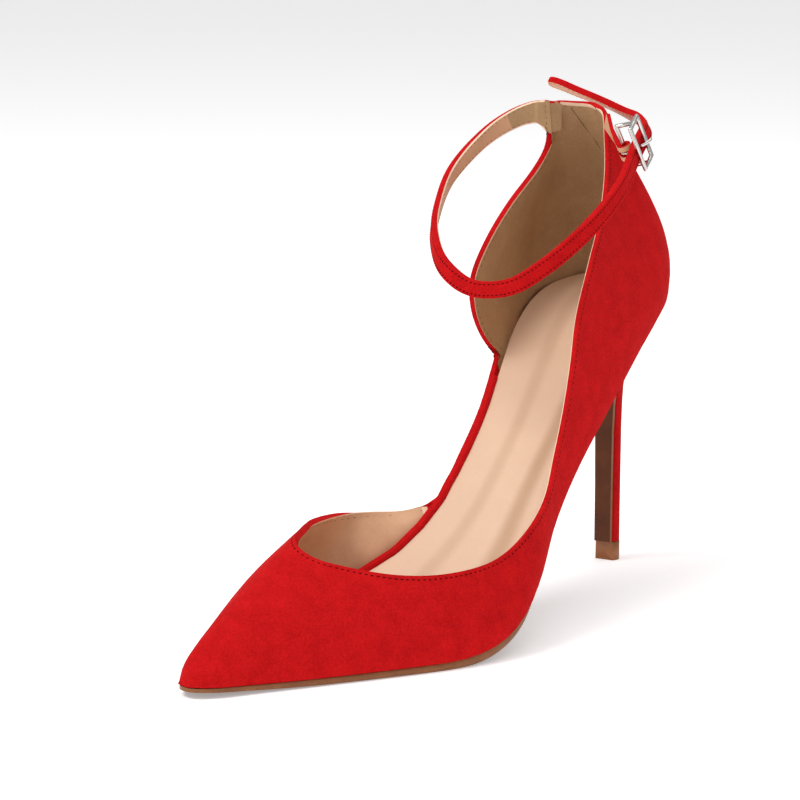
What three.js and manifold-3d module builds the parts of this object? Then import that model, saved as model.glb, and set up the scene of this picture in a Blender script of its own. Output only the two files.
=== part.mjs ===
// Stiletto pump with an ankle strap, for the left foot. Millimetres, +Z up, toe towards -Y,
// outer side of the foot towards +X. The origin is the middle of the heel tip's ground face.
import * as THREE from 'three';
import { mergeVertices } from 'three/addons/utils/BufferGeometryUtils.js';
import Module from 'manifold-3d';

// Driving dimensions
const FOOT_LENGTH = 235.5;
const BALL_WIDTH = 78;
const SEAT_HEIGHT = 91.5;
const COLLAR_RISE = 66;
const HEEL_SETBACK = 15;
const HEEL_SEAT_LENGTH = 37;
const UPPER_WALL = 1.8;
const INSOLE_THICKNESS = 2.4;
const SOLE_THICKNESS = 2.2;
const TONGUE_THICKNESS = 1.3;
const TIP_HEIGHT = 6;
const TIP_DIAMETER = 7.6;
const STRAP_WIDTH = 5.2;
const STRAP_THICKNESS = 2.2;
const BUCKLE_HEIGHT = 15.7;
const BUCKLE_LENGTH = 10;
const BUCKLE_WIRE = 1.4;
const TAB_THICKNESS = 1.2;
const PRONG_WIRE = 1;
const GAP = 0.3;

// Tables give distances along the foot, from the heel's back, as shares of its length; distances
// across, to the outer side, as shares of the ball's width; and rises above the arch as shares of the
// collar's rise

// Feather edge, where the upper meets the sole: plan points from the heel's back round the outer side
const FEATHER_PLAN = [
  { along: 0, across: 0 },
  { along: 0.007, across: 0.096 },
  { along: 0.027, across: 0.186 },
  { along: 0.059, across: 0.256 },
  { along: 0.102, across: 0.303 },
  { along: 0.166, across: 0.328 },
  { along: 0.261, across: 0.354 },
  { along: 0.38, across: 0.382 },
  { along: 0.467, across: 0.423 },
  { along: 0.539, across: 0.485 },
  { along: 0.603, across: 0.513 },
  { along: 0.658, across: 0.49 },
  { along: 0.713, across: 0.421 },
  { along: 0.803, across: 0.262 },
  { along: 0.9, across: 0.074 },
  { along: 0.951, across: -0.023 },
  { along: 0.984, across: -0.087 },
  { along: 1, across: -0.16 },
  { along: 0.989, across: -0.231 },
  { along: 0.951, across: -0.272 },
  { along: 0.866, across: -0.362 },
  { along: 0.794, across: -0.441 },
  { along: 0.73, across: -0.482 },
  { along: 0.671, across: -0.46 },
  { along: 0.607, across: -0.369 },
  { along: 0.539, across: -0.2 },
  { along: 0.471, across: -0.115 },
  { along: 0.403, across: -0.121 },
  { along: 0.327, across: -0.162 },
  { along: 0.251, across: -0.228 },
  { along: 0.166, across: -0.295 },
  { along: 0.102, across: -0.3 },
  { along: 0.059, across: -0.256 },
  { along: 0.027, across: -0.186 },
  { along: 0.007, across: -0.096 },
];

// Rise of the feather edge along the foot, from the flat forefoot to the heel seat's back
const ARCH_LINE = [
  { along: -0.064, rise: 1.022 },
  { along: 0, rise: 1 },
  { along: 0.051, rise: 0.978 },
  { along: 0.102, rise: 0.938 },
  { along: 0.157, rise: 0.866 },
  { along: 0.225, rise: 0.758 },
  { along: 0.318, rise: 0.599 },
  { along: 0.403, rise: 0.454 },
  { along: 0.488, rise: 0.296 },
  { along: 0.561, rise: 0.155 },
  { along: 0.616, rise: 0.069 },
  { along: 0.667, rise: 0.019 },
  { along: 0.726, rise: 0 },
  { along: 0.87, rise: 0 },
  { along: 0.938, rise: 0.004 },
  { along: 1.006, rise: 0.011 },
];

// Rows of the upper: where each leaves the feather edge, where it ends on the top line, how much
// the wall swells, and, where it isn't plain, its lift and how flat and how far it reaches the top line
const UPPER_ROWS = [
  { side: 'toe', foot: 1, along: 0.796, across: -0.096, rise: 0.486, swell: 0.1, lift: 0.16, reach: 0.4 },
  { side: 'outer', foot: 0.951, along: 0.798, across: -0.026, rise: 0.453, swell: 0.15, lift: 0.22, flat: 0.8 },
  { side: 'outer', foot: 0.87, along: 0.788, across: 0.064, rise: 0.426, swell: 0.2, lift: 0.3, flat: 0.6 },
  { side: 'outer', foot: 0.786, along: 0.747, across: 0.237, rise: 0.38, swell: 0.2, flat: 0.7 },
  { side: 'outer', foot: 0.696, along: 0.69, across: 0.359, rise: 0.357, swell: 0.25, flat: 0.8 },
  { side: 'outer', foot: 0.616, along: 0.616, across: 0.436, rise: 0.303, swell: 0.25, flat: 0.9 },
  { side: 'outer', foot: 0.552, along: 0.555, across: 0.462, rise: 0.264, swell: 0.25 },
  { side: 'outer', foot: 0.493, along: 0.493, across: 0.436, rise: 0.211, swell: 0.2 },
  { side: 'outer', foot: 0.437, along: 0.45, across: 0.397, rise: 0.246, swell: 0.15 },
  { side: 'outer', foot: 0.378, along: 0.412, across: 0.372, rise: 0.34, swell: 0.15 },
  { side: 'outer', foot: 0.318, along: 0.382, across: 0.353, rise: 0.482, swell: 0.15 },
  { side: 'outer', foot: 0.259, along: 0.359, across: 0.333, rise: 0.61, swell: 0.2 },
  { side: 'outer', foot: 0.208, along: 0.314, across: 0.308, rise: 0.721, swell: 0.25 },
  { side: 'outer', foot: 0.161, along: 0.238, across: 0.237, rise: 0.756, swell: 0.3 },
  { side: 'outer', foot: 0.119, along: 0.166, across: 0.141, rise: 0.781, swell: 0.28 },
  { side: 'outer', foot: 0.085, along: 0.139, across: 0.095, rise: 0.835, swell: 0.28 },
  { side: 'outer', foot: 0.059, along: 0.126, across: 0.067, rise: 0.902, swell: 0.28 },
  { side: 'outer', foot: 0.038, along: 0.121, across: 0.06, rise: 0.961, swell: 0.28 },
  { side: 'outer', foot: 0.013, along: 0.098, across: -0.013, rise: 0.947, swell: 0.28 },
  { side: 'heel', foot: 0, along: 0.083, across: -0.071, rise: 0.937, swell: 0.28 },
  { side: 'inner', foot: 0.013, along: 0.098, across: -0.141, rise: 0.959, swell: 0.28 },
  { side: 'inner', foot: 0.038, along: 0.124, across: -0.21, rise: 0.999, swell: 0.28 },
  { side: 'inner', foot: 0.059, along: 0.126, across: -0.21, rise: 0.905, swell: 0.28 },
  { side: 'inner', foot: 0.089, along: 0.122, across: -0.218, rise: 0.797, swell: 0.28 },
  { side: 'inner', foot: 0.119, along: 0.149, across: -0.233, rise: 0.732, swell: 0.3 },
  { side: 'inner', foot: 0.149, along: 0.208, across: -0.249, rise: 0.712, swell: 0.25 },
  { side: 'inner', foot: 0.174, along: 0.259, across: -0.269, rise: 0.653, swell: 0.2 },
  { side: 'inner', foot: 0.191, along: 0.291, across: -0.282, rise: 0.545, swell: 0.15 },
  { side: 'inner', foot: 0.208, along: 0.282, across: -0.282, rise: 0.351, swell: 0.1 },
  { side: 'inner', foot: 0.225, along: 0.253, across: -0.269, rise: 0.138, swell: 0.1 },
  { side: 'inner', foot: 0.238, along: 0.24, across: -0.249, rise: 0.058, swell: 0 },
  { side: 'inner', foot: 0.251, along: 0.255, across: -0.233, rise: 0.058, swell: 0 },
  { side: 'inner', foot: 0.327, along: 0.331, across: -0.165, rise: 0.053, swell: 0 },
  { side: 'inner', foot: 0.403, along: 0.408, across: -0.126, rise: 0.051, swell: 0 },
  { side: 'inner', foot: 0.463, along: 0.467, across: -0.109, rise: 0.048, swell: 0 },
  { side: 'inner', foot: 0.505, along: 0.493, across: -0.19, rise: 0.05, swell: 0.15 },
  { side: 'inner', foot: 0.556, along: 0.529, across: -0.295, rise: 0.152, swell: 0.25 },
  { side: 'inner', foot: 0.616, along: 0.569, across: -0.346, rise: 0.274, swell: 0.25, flat: 0.9 },
  { side: 'inner', foot: 0.735, along: 0.667, across: -0.295, rise: 0.477, swell: 0.2, flat: 0.7 },
  { side: 'inner', foot: 0.854, along: 0.735, across: -0.205, rise: 0.518, swell: 0.16, lift: 0.28, flat: 0.6 },
  { side: 'inner', foot: 0.947, along: 0.779, across: -0.149, rise: 0.511, swell: 0.12, lift: 0.2, flat: 0.8 },
];

const PLAIN_WALL = { lift: 0.33, flat: 1, reach: 0.3 };

// Distance ahead of the heel tip's middle, and distance to the outer side, of shares of the foot's sizes
function ahead(along) {
  return along * FOOT_LENGTH - HEEL_SETBACK;
}

function aside(across) {
  return across * BALL_WIDTH;
}

// Point from distance towards the toe, distance to the outer side, and height
function at(forward, outward, up) {
  return new THREE.Vector3(outward, -forward, up);
}

// Smooth reading of a table column between rows sorted by a key column
function tableReader(rows, key, column) {
  const slopeAt = (i) => {
    const before = rows[Math.max(i - 1, 0)];
    const after = rows[Math.min(i + 1, rows.length - 1)];
    const levelNear = (rows[i][column] - before[column]) * (after[column] - rows[i][column]) <= 0;
    const inside = i > 0 && i < rows.length - 1;
    return inside && levelNear ? 0 : (after[column] - before[column]) / (after[key] - before[key]);
  };
  return (value) => {
    let i = 0;
    while (i < rows.length - 2 && rows[i + 1][key] < value) {
      i += 1;
    }
    const span = rows[i + 1][key] - rows[i][key];
    const s = THREE.MathUtils.clamp((value - rows[i][key]) / span, 0, 1);
    const h01 = s * s * (3 - 2 * s);
    const h10 = s * (1 - s) * (1 - s);
    const h11 = s * s * (s - 1);
    const rise = rows[i][column] * (1 - h01) + rows[i + 1][column] * h01;
    return rise + span * (h10 * slopeAt(i) + h11 * slopeAt(i + 1));
  };
}

const FOREFOOT_HEIGHT = SOLE_THICKNESS + GAP;
const archRise = tableReader(ARCH_LINE, 'along', 'rise');

// Height of the feather edge above the ground at a distance forward
function archHeight(forward) {
  const rise = archRise((forward + HEEL_SETBACK) / FOOT_LENGTH);
  return THREE.MathUtils.lerp(FOREFOOT_HEIGHT, SEAT_HEIGHT, rise);
}

// Unit normal of the arch line, pointing up out of the insole
function archNormal(forward) {
  const step = 0.5;
  const slope = (archHeight(forward + step) - archHeight(forward - step)) / (2 * step);
  return at(-slope, 0, 1).normalize();
}

// Point on the arch line's surface, moved along its normal
function onArch(forward, outward, raised) {
  return at(forward, outward, archHeight(forward)).addScaledVector(archNormal(forward), raised);
}

// Closed body from loose faces: shared corners merged, flat triangles dropped, faces turned out
class SolidBuilder {
  constructor() {
    this.corners = [];
  }

  triangle(a, b, c) {
    this.corners.push(a, b, c);
  }

  quad(a, b, c, d) {
    this.triangle(a, b, c);
    this.triangle(a, c, d);
  }

  // Sheet of quads over a grid of points; reversed turns its faces over
  sheet(grid, wrap = false, reversed = false) {
    const rows = wrap ? grid.length : grid.length - 1;
    for (let i = 0; i < rows; i += 1) {
      const here = grid[i];
      const next = grid[(i + 1) % grid.length];
      for (let j = 0; j < here.length - 1; j += 1) {
        if (reversed) {
          this.quad(here[j], here[j + 1], next[j + 1], next[j]);
        } else {
          this.quad(here[j], next[j], next[j + 1], here[j + 1]);
        }
      }
    }
  }

  geometry() {
    const loose = new THREE.BufferGeometry();
    const flat = this.corners.flatMap((p) => [p.x, p.y, p.z]);
    loose.setAttribute('position', new THREE.Float32BufferAttribute(flat, 3));
    const merged = mergeVertices(loose, 1e-3);
    const index = merged.getIndex().array;
    const position = merged.getAttribute('position');
    const point = (i) => new THREE.Vector3().fromBufferAttribute(position, i);
    const kept = [];
    let volume = 0;
    for (let i = 0; i < index.length; i += 3) {
      const [a, b, c] = [index[i], index[i + 1], index[i + 2]];
      if (a !== b && b !== c && a !== c) {
        kept.push(a, b, c);
        volume += point(a).dot(point(b).cross(point(c)));
      }
    }
    if (volume < 0) {
      kept.reverse();
    }
    merged.setIndex(kept);
    const solid = merged.toNonIndexed();
    solid.computeVertexNormals();
    return solid;
  }
}

// Feather edge as a closed curve, and dense samples of it with plan normals pointing outwards
const FEATHER_SAMPLES = 720;
const featherCurve = new THREE.CatmullRomCurve3(
  FEATHER_PLAN.map((p) => at(ahead(p.along), aside(p.across), 0)),
  true,
  'centripetal',
);
featherCurve.arcLengthDivisions = 2000;

function featherOutward(share) {
  const tangent = featherCurve.getTangentAt(share);
  return new THREE.Vector3(-tangent.y, tangent.x, 0).normalize();
}

const featherSamples = Array.from({ length: FEATHER_SAMPLES }, (_, i) => {
  const share = i / FEATHER_SAMPLES;
  return { share, plan: featherCurve.getPointAt(share), outward: featherOutward(share) };
});
const TOE_SHARE = featherSamples.reduce((a, b) => (b.plan.y < a.plan.y ? b : a)).share;

// Position round the feather edge of the point at a distance forward on one side
function featherShare(side, forward) {
  if (side === 'toe') {
    return TOE_SHARE;
  }
  if (side === 'heel') {
    return 1;
  }
  const onSide = featherSamples.filter((s) => (side === 'outer') === (s.share < TOE_SHARE));
  const nearest = onSide.reduce((a, b) => {
    return Math.abs(-b.plan.y - forward) < Math.abs(-a.plan.y - forward) ? b : a;
  });
  return nearest.share;
}

// Foot outline drawn in by an inset: its ends, and its edge on each side at a distance forward
function outline(insetAt) {
  const points = featherSamples.map((s) => {
    return s.plan.clone().addScaledVector(s.outward, -insetAt(-s.plan.y));
  });
  const forwards = points.map((p) => -p.y);
  const ends = { back: Math.min(...forwards), front: Math.max(...forwards) };
  const toe = forwards.indexOf(ends.front);
  const heel = forwards.indexOf(ends.back);
  const shift = (i) => (i - heel + points.length) % points.length;
  const ordered = points.map((_, i) => points[(i + heel) % points.length]);
  const outerSide = ordered.slice(0, shift(toe) + 1);
  const innerSide = [ordered[0], ...ordered.slice(shift(toe)).reverse()];
  const edge = (sidePoints) => (forward) => {
    for (let i = 0; i < sidePoints.length - 1; i += 1) {
      const [a, b] = [-sidePoints[i].y, -sidePoints[i + 1].y];
      if (forward >= a && forward <= b && b > a) {
        return THREE.MathUtils.lerp(sidePoints[i].x, sidePoints[i + 1].x, (forward - a) / (b - a));
      }
    }
    return sidePoints[forward <= ends.back ? 0 : sidePoints.length - 1].x;
  };
  return { ...ends, outer: edge(outerSide), inner: edge(innerSide) };
}

// Value round the closed list of upper rows, smooth from row to row
function roundRows(column, place) {
  const count = UPPER_ROWS.length;
  const i = Math.floor(place);
  const s = place - i;
  const value = (k) => {
    const row = UPPER_ROWS[((i + k) % count + count) % count];
    return row[column] ?? PLAIN_WALL[column];
  };
  const [a, b, c, d] = [value(-1), value(0), value(1), value(2)];
  const cubic = 2 * b + (c - a) * s + (2 * a - 5 * b + 4 * c - d) * s * s + (3 * b - a - 3 * c + d) * s ** 3;
  return 0.5 * cubic;
}

const ROW_SPACING = 5;
const UPPER_COLUMNS = 9;
// A wall this high leaves the feather edge straight up, and a lower one square to the arch
const UPRIGHT_WALL = 30;

// Places round the upper where a row of the mesh is drawn, denser where the top line is long
function rowPlaces(topLine, shares) {
  const places = [];
  const count = UPPER_ROWS.length;
  for (let i = 0; i < count; i += 1) {
    const topStep = topLine.getPoint(i / count).distanceTo(topLine.getPoint((i + 1) / count));
    const footStep = Math.abs(shares[i + 1] - shares[i]) * featherCurve.getLength();
    const rows = Math.max(1, Math.round(Math.max(topStep, footStep) / ROW_SPACING));
    for (let k = 0; k < rows; k += 1) {
      places.push(i + k / rows);
    }
  }
  return places;
}

// Outer surface of the upper: each row is a cubic curve from the feather edge to the top line
function upperSurface() {
  const count = UPPER_ROWS.length;
  const topLine = new THREE.CatmullRomCurve3(
    UPPER_ROWS.map((row) => {
      return at(ahead(row.along), aside(row.across), archHeight(ahead(row.along)) + row.rise * COLLAR_RISE);
    }),
    true,
    'centripetal',
  );
  const raw = UPPER_ROWS.map((row) => featherShare(row.side, ahead(row.foot)));
  // The rows run from the toe back along the outer side, so their shares fall from row to row
  const shares = raw.map((share) => (share > TOE_SHARE ? share - 1 : share));
  shares.push(shares[0] - 1);
  const shareAt = (place) => {
    const i = Math.floor(place);
    const before = shares[Math.max(i - 1, 0)] + (i === 0 ? shares[0] - shares[1] : 0);
    const after = i + 2 <= count ? shares[i + 2] : shares[count] + shares[1] - shares[0];
    const s = place - i;
    const slopeHere = (shares[i + 1] - before) / 2;
    const slopeNext = (after - shares[i]) / 2;
    const h01 = s * s * (3 - 2 * s);
    const straight = shares[i] * (1 - h01) + shares[i + 1] * h01;
    return straight + slopeHere * s * (1 - s) ** 2 + slopeNext * s * s * (s - 1);
  };
  return rowPlaces(topLine, shares).map((place) => {
    const share = ((shareAt(place) % 1) + 1) % 1;
    const plan = featherCurve.getPointAt(share);
    const outward = featherOutward(share);
    const foot = at(-plan.y, plan.x, archHeight(-plan.y));
    const top = topLine.getPoint(place / count);
    const chord = foot.distanceTo(top);
    const climb = archNormal(-plan.y).lerp(at(0, 0, 1), Math.min(1, chord / UPRIGHT_WALL)).normalize();
    const low = foot.clone().addScaledVector(climb, chord * roundRows('lift', place));
    low.addScaledVector(outward, chord * roundRows('lift', place) * roundRows('swell', place));
    const arrive = top.clone().sub(foot);
    arrive.z *= roundRows('flat', place);
    arrive.normalize();
    const high = top.clone().addScaledVector(arrive, -chord * roundRows('reach', place));
    const curve = new THREE.CubicBezierCurve3(foot, low, high, top);
    return curve.getPoints(UPPER_COLUMNS);
  });
}

// Grid moved inwards by a wall thickness along its own normals
function innerSurface(grid, wall) {
  const count = grid.length;
  return grid.map((row, i) => row.map((point, j) => {
    const next = grid[(i + 1) % count][j];
    const last = grid[(i - 1 + count) % count][j];
    const above = row[Math.min(j + 1, row.length - 1)];
    const below = row[Math.max(j - 1, 0)];
    const normal = next.clone().sub(last).cross(above.clone().sub(below)).normalize();
    if (j === 0) {
      const steep = archNormal(-point.y);
      normal.addScaledVector(steep, -normal.dot(steep)).normalize();
    }
    return point.clone().addScaledVector(normal, -wall);
  }));
}

function upperGeometry() {
  const outer = upperSurface();
  const inner = innerSurface(outer, UPPER_WALL);
  const body = new SolidBuilder();
  body.sheet(outer, true);
  body.sheet(inner, true, true);
  const foot = outer.map((row, i) => [inner[i][0], row[0]]);
  const top = outer.map((row, i) => [row[UPPER_COLUMNS], inner[i][UPPER_COLUMNS]]);
  body.sheet(foot, true);
  body.sheet(top, true);
  return body.geometry();
}

// Stations along the foot, close together at the rounded ends
function stations(back, front, count) {
  return Array.from({ length: count + 1 }, (_, i) => {
    return back + (front - back) * (1 - Math.cos((Math.PI * i) / count)) / 2;
  });
}

// Body between two grids with the same layout
function closeBetween(lower, upper) {
  const body = new SolidBuilder();
  body.sheet(lower);
  body.sheet(upper, false, true);
  const last = lower.length - 1;
  const end = lower[0].length - 1;
  body.sheet([lower[0], upper[0]], false, true);
  body.sheet([lower[last], upper[last]]);
  body.sheet([lower.map((row) => row[0]), upper.map((row) => row[0])]);
  body.sheet([lower.map((row) => row[end]), upper.map((row) => row[end])], false, true);
  return body.geometry();
}

const ACROSS = 4;
const INSOLE_CLEARANCE = 0.8;
const INSOLE_STATIONS = 40;

function acrossRow(inner, outer, place) {
  return Array.from({ length: ACROSS + 1 }, (_, k) => place(inner + (outer - inner) * k / ACROSS));
}

function insoleGeometry() {
  const edge = outline(() => UPPER_WALL + INSOLE_CLEARANCE);
  const lengths = stations(edge.back, edge.front, INSOLE_STATIONS);
  const grid = (raised) => lengths.map((forward) => {
    return acrossRow(edge.inner(forward), edge.outer(forward), (o) => onArch(forward, o, raised));
  });
  return closeBetween(grid(0), grid(INSOLE_THICKNESS));
}

// Heel: plan section of the shaft and of the seat, and how far each height has opened out to the seat
const BREAST_FORWARD = HEEL_SEAT_LENGTH - HEEL_SETBACK;
const SEAT_MIDDLE_FORWARD = HEEL_SEAT_LENGTH / 2 - HEEL_SETBACK;
const SEAT_INSET = 0.8;
const SHAFT_FRONT = 0.29 * TIP_DIAMETER;
const HEEL_FLARE = [
  { share: 0, open: 0 },
  { share: 0.3, open: 0.002 },
  { share: 0.5, open: 0.01 },
  { share: 0.62, open: 0.042 },
  { share: 0.71, open: 0.125 },
  { share: 0.8, open: 0.36 },
  { share: 0.89, open: 0.7 },
  { share: 0.95, open: 0.9 },
  { share: 1, open: 1 },
];
const heelOpen = tableReader(HEEL_FLARE, 'share', 'open');
const HEEL_AROUND = 28;
const BREAST_ACROSS = 6;

// Matching plan points of the shaft and the seat, from the breast's inner corner across and round the back
function heelRing() {
  const seat = outline(() => SEAT_INSET);
  const radius = TIP_DIAMETER / 2;
  const corner = Math.acos(SHAFT_FRONT / radius);
  const shaftHalf = Math.sin(corner) * radius;
  const ring = [];
  const seatInner = seat.inner(BREAST_FORWARD);
  const seatOuter = seat.outer(BREAST_FORWARD);
  for (let k = 0; k < BREAST_ACROSS; k += 1) {
    const s = k / BREAST_ACROSS;
    ring.push({
      shaft: { forward: SHAFT_FRONT, outward: THREE.MathUtils.lerp(-shaftHalf, shaftHalf, s) },
      seat: { forward: BREAST_FORWARD, outward: THREE.MathUtils.lerp(seatInner, seatOuter, s) },
    });
  }
  for (let k = 0; k <= HEEL_AROUND; k += 1) {
    const s = k / HEEL_AROUND;
    const turn = corner + s * (2 * Math.PI - 2 * corner);
    const forward = seat.back + (BREAST_FORWARD - seat.back) * (1 - Math.sin(Math.PI * s));
    const side = s < 0.5 ? seat.outer : seat.inner;
    ring.push({
      shaft: { forward: Math.cos(turn) * radius, outward: Math.sin(turn) * radius },
      seat: { forward, outward: side(forward) },
    });
  }
  ring.pop();
  return ring;
}

const HEEL_LEVELS = [0, 0.25, 0.45, 0.55, 0.62, 0.68, 0.74, 0.8, 0.85, 0.9, 0.95, 1];
const SHAFT_FOOT = TIP_HEIGHT + GAP;

function heelPoint(pair, level) {
  const open = heelOpen(level);
  const forward = THREE.MathUtils.lerp(pair.shaft.forward, pair.seat.forward, open);
  const outward = THREE.MathUtils.lerp(pair.shaft.outward, pair.seat.outward, open);
  const roof = archHeight(pair.seat.forward) - GAP;
  return at(forward, outward, THREE.MathUtils.lerp(SHAFT_FOOT, roof, level));
}

function heelGeometry() {
  const ring = heelRing();
  const body = new SolidBuilder();
  const grid = HEEL_LEVELS.map((level) => ring.map((pair) => heelPoint(pair, level)));
  const closed = grid.map((row) => [...row, row[0]]);
  body.sheet(closed);
  const foot = grid[0].reduce((a, p) => a.add(p), new THREE.Vector3()).divideScalar(ring.length);
  const roof = at(SEAT_MIDDLE_FORWARD, 0, archHeight(SEAT_MIDDLE_FORWARD) - GAP);
  const top = grid[grid.length - 1];
  for (let k = 0; k < ring.length; k += 1) {
    const next = (k + 1) % ring.length;
    body.triangle(foot, grid[0][k], grid[0][next]);
    const midHere = seatMiddle(ring[k]);
    const midNext = seatMiddle(ring[next]);
    body.quad(top[next], top[k], midHere, midNext);
    body.triangle(midNext, midHere, roof);
  }
  return body.geometry();
}

// Point half way from the heel seat's edge to its middle, on the arch surface
function seatMiddle(pair) {
  const forward = THREE.MathUtils.lerp(pair.seat.forward, SEAT_MIDDLE_FORWARD, 0.5);
  return at(forward, pair.seat.outward / 2, archHeight(forward) - GAP);
}

// Outsole: along the foot to the breast, then down the heel's front face as a thin tongue.
// It lies in from the feather edge by the waist's inset up to one place, and by the forefoot's from another
const SOLE_INSET = { waist: 2.6, forefoot: 0.5, from: 0.467, to: 0.637 };

function soleInset(forward) {
  const turn = THREE.MathUtils.smoothstep(forward, ahead(SOLE_INSET.from), ahead(SOLE_INSET.to));
  return THREE.MathUtils.lerp(SOLE_INSET.waist, SOLE_INSET.forefoot, turn);
}

// Thickness of the outsole along the foot, in shares of its thickness under the toes
const SOLE_PROFILE = [
  { along: 0.149, share: 0.75 },
  { along: 0.467, share: 0.8 },
  { along: 0.607, share: 1.35 },
  { along: 0.667, share: 1.35 },
  { along: 0.726, share: 1 },
  { along: 0.87, share: 0.85 },
  { along: 1.006, share: 0.5 },
];
const soleShare = tableReader(SOLE_PROFILE, 'along', 'share');
const SOLE_STATIONS = 34;
const BREAST_TURN = 3;
const TONGUE_LEVELS = [0.9, 0.85, 0.8, 0.74, 0.68, 0.62, 0.5, 0.25, 0];
const TONGUE_MARGIN = 0.2;

function outsoleGeometry() {
  const edge = outline(soleInset);
  const lower = [];
  const upper = [];
  const back = BREAST_FORWARD + GAP + BREAST_TURN;
  for (let i = 0; i <= SOLE_STATIONS; i += 1) {
    const forward = back + (edge.front - back) * Math.sin((Math.PI / 2) * (i / SOLE_STATIONS));
    const place = (raised) => (o) => onArch(forward, o, raised);
    const thickness = SOLE_THICKNESS * soleShare((forward + HEEL_SETBACK) / FOOT_LENGTH);
    lower.push(acrossRow(edge.inner(forward), edge.outer(forward), place(-GAP - thickness)));
    upper.push(acrossRow(edge.inner(forward), edge.outer(forward), place(-GAP)));
  }
  const ring = heelRing();
  const innerCorner = ring[0];
  const outerCorner = ring[BREAST_ACROSS];
  for (const level of TONGUE_LEVELS) {
    const a = heelPoint(innerCorner, level);
    const b = heelPoint(outerCorner, level);
    const inner = a.x + TONGUE_MARGIN;
    const outer = b.x - TONGUE_MARGIN;
    const front = -a.y + GAP;
    lower.unshift(acrossRow(inner, outer, (o) => at(front + TONGUE_THICKNESS, o, a.z)));
    upper.unshift(acrossRow(inner, outer, (o) => at(front, o, a.z)));
  }
  return closeBetween(lower, upper);
}

const LIFT_OVERHANG = 0.1;

function topLiftGeometry() {
  const radius = TIP_DIAMETER / 2 + LIFT_OVERHANG;
  const shape = new THREE.Shape();
  const corner = Math.acos(SHAFT_FRONT / radius);
  shape.absarc(0, 0, radius, corner, 2 * Math.PI - corner, false);
  shape.closePath();
  const options = { depth: TIP_HEIGHT, bevelEnabled: false, curveSegments: HEEL_AROUND };
  const solid = new THREE.ExtrudeGeometry(shape, options);
  solid.rotateZ(-Math.PI / 2);
  return solid;
}

// Even distances from one place along a band to another, both ends included
function evenPlaces(from, to, step) {
  const count = Math.max(1, Math.round((to - from) / step));
  return Array.from({ length: count + 1 }, (_, i) => THREE.MathUtils.lerp(from, to, i / count));
}

// Band of rectangular section along a row of middles with width directions, between edges given by place
function bandGeometry(middles, widthHints, places, edgesAt, thickness) {
  const curve = new THREE.CatmullRomCurve3(middles, false, 'centripetal');
  curve.arcLengthDivisions = 800;
  const length = curve.getLength();
  const corners = (along) => {
    const share = curve.getUtoTmapping(along / length);
    const place = share * (middles.length - 1);
    const i = Math.min(Math.floor(place), middles.length - 2);
    const tangent = curve.getTangent(share);
    const across = widthHints[i].clone().lerp(widthHints[i + 1], place - i);
    across.addScaledVector(tangent, -across.dot(tangent)).normalize();
    const out = tangent.clone().cross(across).normalize();
    const middle = curve.getPoint(share);
    const edges = edgesAt(along, length);
    const half = thickness / 2;
    const corner = (w, n) => middle.clone().addScaledVector(across, w).addScaledVector(out, n);
    const { below, above } = edges;
    return [corner(-below, -half), corner(above, -half), corner(above, half), corner(-below, half)];
  };
  const rings = places(length).map(corners);
  const body = new SolidBuilder();
  body.sheet(rings.map((ring) => [...ring, ring[0]]));
  const first = rings[0];
  const last = rings[rings.length - 1];
  body.quad(first[0], first[1], first[2], first[3]);
  body.quad(last[3], last[2], last[1], last[0]);
  return body.geometry();
}

// Strap: from the inner corner of the heel neck round the front of the ankle, through the buckle, and back
const ANKLE_MIDDLE = { along: 0.234, across: -0.026 };
const NECK_ALONG = 0.123;
const STRAP_ROUTE = [
  { along: 0.13, across: -0.21, rise: 0.955, lean: 0 },
  { along: 0.142, across: -0.259, rise: 0.949, lean: 0 },
  { along: 0.187, across: -0.353, rise: 0.868, lean: 0 },
  { along: 0.263, across: -0.41, rise: 0.686, lean: 0.1 },
  { along: 0.327, across: -0.365, rise: 0.54, lean: 0.1 },
  { along: 0.391, across: -0.263, rise: 0.423, lean: 0.1 },
  { along: 0.433, across: -0.135, rise: 0.315, lean: 0.1 },
  { along: 0.437, across: -0.013, rise: 0.24, lean: 0.1 },
  { along: 0.419, across: 0.128, rise: 0.249, lean: 0.1 },
  { along: 0.389, across: 0.231, rise: 0.34, lean: 0.1 },
  { along: 0.359, across: 0.288, rise: 0.424, lean: 0.1 },
  { along: 0.324, across: 0.327, rise: 0.512, lean: 0.1 },
  { along: 0.286, across: 0.34, rise: 0.593, lean: 0.1 },
  { along: 0.242, across: 0.333, rise: 0.683, lean: 0.1 },
  { along: 0.205, across: 0.305, rise: 0.756, lean: 0.18 },
  { along: 0.172, across: 0.278, rise: 0.814, lean: 0.26 },
  { along: 0.146, across: 0.26, rise: 0.855, lean: 0.32 },
  { along: 0.128, across: 0.246, rise: 0.877, lean: 0.4 },
  { along: 0.113, across: 0.226, rise: 0.894, lean: 0.5 },
  { along: 0.099, across: 0.19, rise: 0.911, lean: 0.7 },
  { along: 0.087, across: 0.154, rise: 0.924, lean: 0.9 },
  { along: 0.074, across: 0.088, rise: 0.938, lean: 1.3 },
  { along: 0.064, across: 0.019, rise: 0.959, lean: 1.7 },
  { along: 0.057, across: -0.058, rise: 0.985, lean: 2 },
  { along: 0.053, across: -0.132, rise: 1.008, lean: 2 },
  { along: 0.053, across: -0.203, rise: 1.033, lean: 2 },
  { along: 0.055, across: -0.271, rise: 1.061, lean: 2 },
  { along: 0.057, across: -0.321, rise: 1.074, lean: 2 },
];
const BUCKLE_STATION = 15;

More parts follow.
